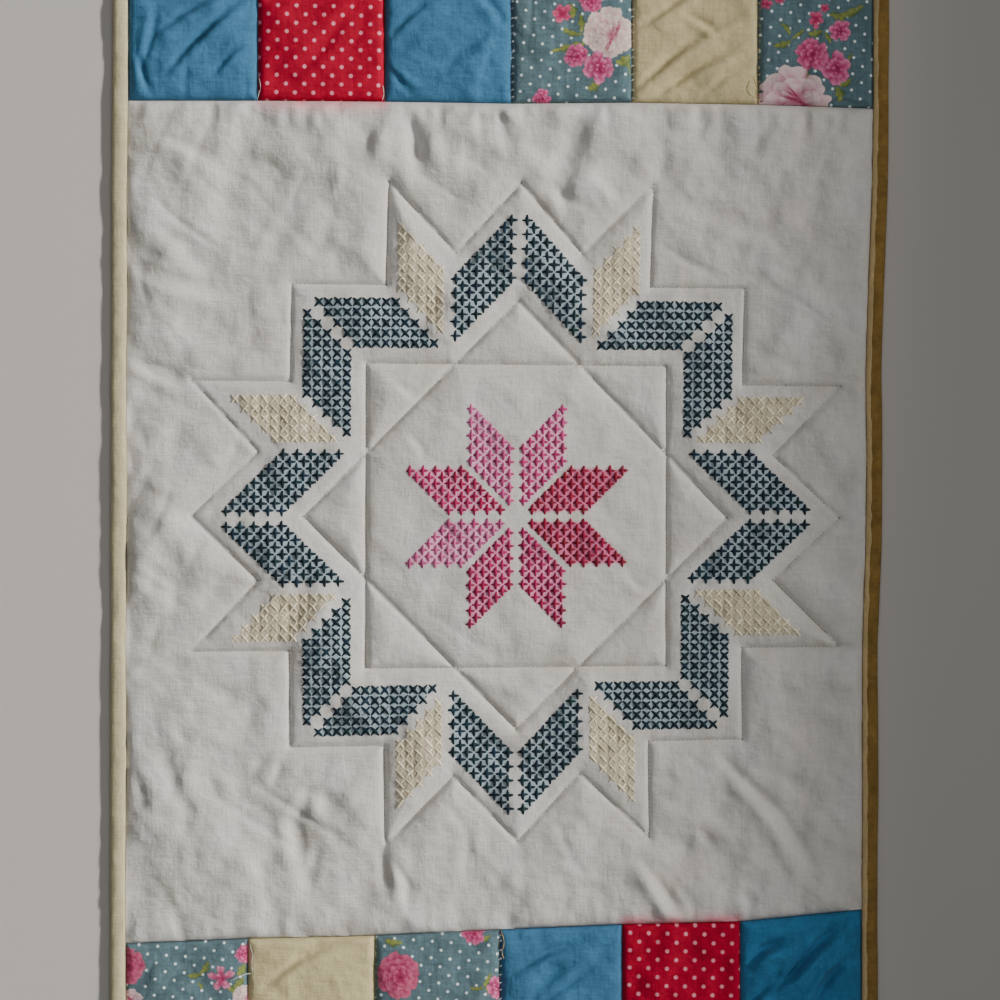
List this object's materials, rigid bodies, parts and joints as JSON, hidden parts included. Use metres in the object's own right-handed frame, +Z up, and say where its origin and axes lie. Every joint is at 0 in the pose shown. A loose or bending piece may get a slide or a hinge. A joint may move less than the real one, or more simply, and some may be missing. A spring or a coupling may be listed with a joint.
{
  "type": "star quilt panel",
  "caption": "Flat quilted cotton panel with a cross-stitched star wheel on white, a row of patchwork squares above and below, and a narrow binding.",
  "frame": {"origin": "under the middle of the panel, on the surface that it lies on", "axes": "+X to the right and +Y to the top of the quilt as it is looked down on, +Z up off the surface"},
  "size_m": [0.4675, 0.6767, 0.0081],
  "materials": {
    "white_cotton": "matte white plain weave, softly puckered",
    "blue_cotton": "matte mid blue plain weave",
    "red_dot_cotton": "matte crimson plain weave with small pale dots",
    "rose_print_cotton": "matte slate plain weave printed with pin dots and roses",
    "cream_cotton": "matte cream plain weave",
    "binding_cotton": "matte cream plain weave, folded over the edge",
    "embroidery_thread": "stranded cotton with a slight sheen"
  },
  "bodies": {
    "root": {"block": "white_cotton", "patch_top_1": "blue_cotton", "patch_bottom_1": "rose_print_cotton", "patch_top_2": "red_dot_cotton", "patch_bottom_2": "cream_cotton", "patch_top_3": "blue_cotton", "patch_bottom_3": "rose_print_cotton", "patch_top_4": "rose_print_cotton", "patch_bottom_4": "blue_cotton", "patch_top_5": "cream_cotton", "patch_bottom_5": "red_dot_cotton", "patch_top_6": "rose_print_cotton", "patch_bottom_6": "blue_cotton", "binding_left": "binding_cotton", "binding_right": "binding_cotton", "binding_top": "binding_cotton", "binding_bottom": "binding_cotton"}
  },
  "joints": []
}
